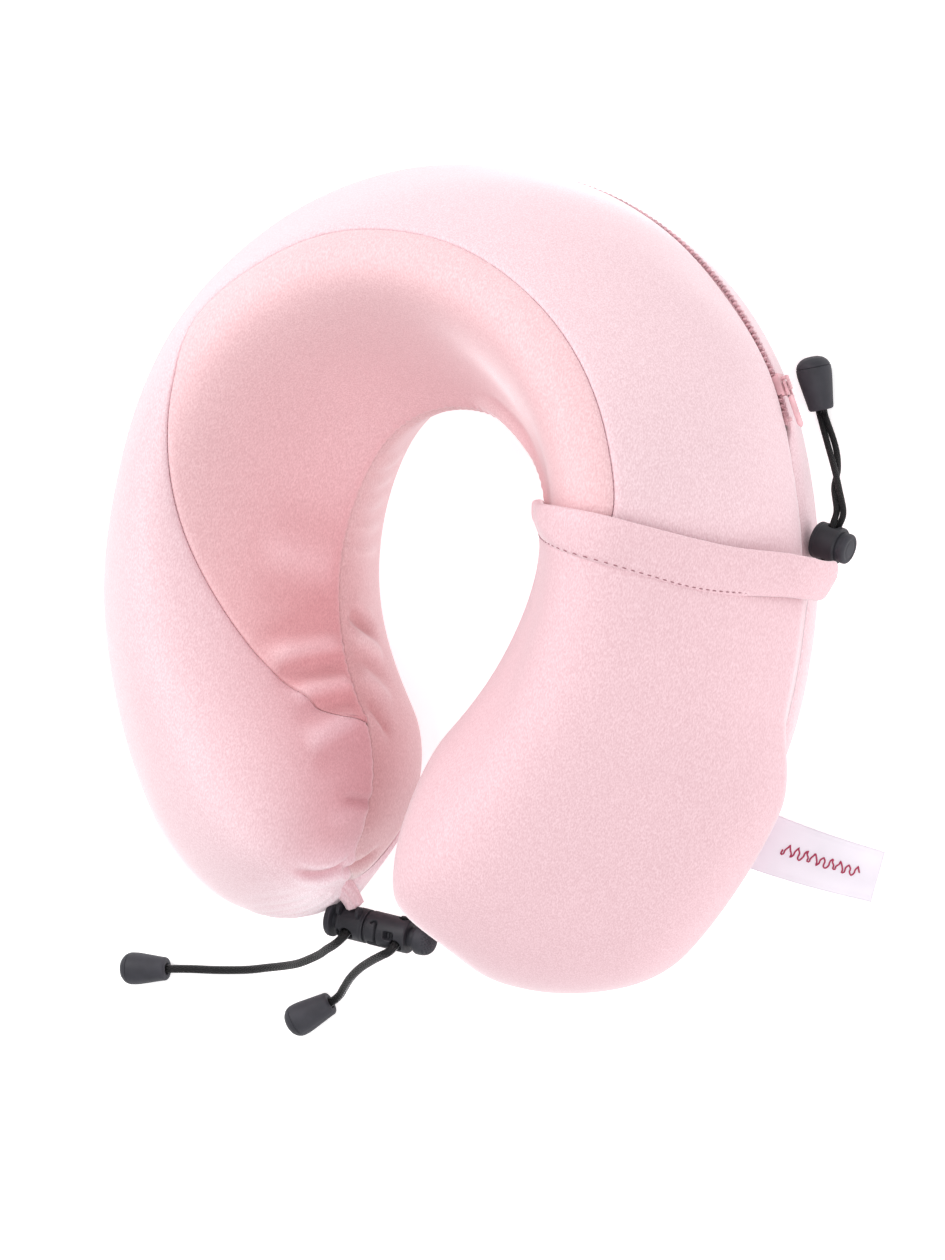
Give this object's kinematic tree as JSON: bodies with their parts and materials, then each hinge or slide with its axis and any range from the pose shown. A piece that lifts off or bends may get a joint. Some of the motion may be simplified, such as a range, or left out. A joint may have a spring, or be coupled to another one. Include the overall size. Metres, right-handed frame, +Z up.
{
  "type": "u shaped travel neck pillow",
  "caption": "U shaped memory foam neck pillow with a zipped velour cover, a drawstring pocket on one arm, and a cord-lock clasp joining the arm ends.",
  "frame": {"origin": "on the flat base's plane, on the pillow's centreline under the back of the neck", "axes": "+Z up, from the flat base to the raised rim; +Y from the neck opening to the back of the pillow, with the arm ends and the clasp towards -Y; +X towards the arm with the pocket"},
  "size_m": [0.3143, 0.3464, 0.1355],
  "materials": {
    "face_velour": "short pile velour, rose pink",
    "side_velour": "short pile velour, pale pink",
    "foam": "soft open-cell memory foam, cream",
    "trim": "woven pink trim",
    "pull": "pink moulded zip pull",
    "zip_metal": "satin plated metal",
    "label": "blank pale satin ribbon",
    "cord": "black braided cord with a light fleck",
    "moulding": "charcoal, soft matte",
    "spring": "bare spring wire"
  },
  "bodies": {
    "pillow": {"foam_core": "foam", "outer_panel": "side_velour", "face_panel": "face_velour", "inner_panel": "side_velour", "base_panel": "face_velour", "pocket_panel": "face_velour", "pocket_hem": "side_velour", "hem_cord": "cord", "pocket_cord_upper": "cord", "pocket_cord_lower": "cord", "pocket_cord_bell": "moulding", "pocket_cord_bell_cap": "moulding", "zip_tape_upper": "trim", "zip_tape_lower": "trim", "zip_teeth_upper": "trim", "zip_teeth_lower": "trim", "zip_top_stop": "zip_metal", "zip_bottom_stop": "zip_metal", "side_label": "label", "left_end_tab": "trim", "right_end_tab": "trim", "right_cord_root": "cord", "left_cord": "cord", "left_cord_bell": "moulding", "left_cord_bell_cap": "moulding", "clasp_left_half": "moulding", "clasp_left_spring": "spring"},
    "zip_slider": {"zip_slider": "zip_metal"},
    "zip_pull": {"zip_pull": "pull"},
    "clasp_left_button": {"clasp_left_button": "moulding"},
    "clasp_right": {"clasp_right_half": "moulding", "clasp_right_spring": "spring", "right_cord": "cord", "right_cord_bell": "moulding", "right_cord_bell_cap": "moulding"},
    "clasp_right_button": {"clasp_right_button": "moulding"},
    "pocket_lock": {"pocket_lock": "moulding", "pocket_lock_spring": "spring"},
    "pocket_lock_button": {"pocket_lock_button": "moulding"}
  },
  "joints": [
    {"name": "zip_slide", "type": "hinge", "parent": "pillow", "child": "zip_slider", "pos_m": [0, -0.083, 0.03475], "axis": [0, 0, 1], "range_deg": [0, 119.4]},
    {"name": "zip_pull_swing", "type": "hinge", "parent": "zip_slider", "child": "zip_pull", "pos_m": [0.11473, -0.01596, 0.03475], "axis": [0, 0, 1], "range_deg": [0, 170]},
    {"name": "clasp_left_press", "type": "slide", "parent": "pillow", "child": "clasp_left_button", "axis": [1, 0, 0], "range_m": [0, 0.0025], "stiffness_N_per_m": 400, "deforming": ["clasp_left_spring"]},
    {"name": "clasp_pull", "type": "slide", "parent": "pillow", "child": "clasp_right", "axis": [1, 0, 0], "range_m": [0, 0.008]},
    {"name": "clasp_right_press", "type": "slide", "parent": "clasp_right", "child": "clasp_right_button", "axis": [-1, 0, 0], "range_m": [0, 0.0025], "stiffness_N_per_m": 400, "deforming": ["clasp_right_spring"]},
    {"name": "pocket_lock_slide", "type": "slide", "parent": "pillow", "child": "pocket_lock", "axis": [0.1297, 0.9915, 0.0079], "range_m": [0, 0.006]},
    {"name": "pocket_lock_press", "type": "slide", "parent": "pocket_lock", "child": "pocket_lock_button", "axis": [-0.9897, 0.13, -0.06], "range_m": [0, 0.001], "stiffness_N_per_m": 400, "deforming": ["pocket_lock_spring"]}
  ]
}
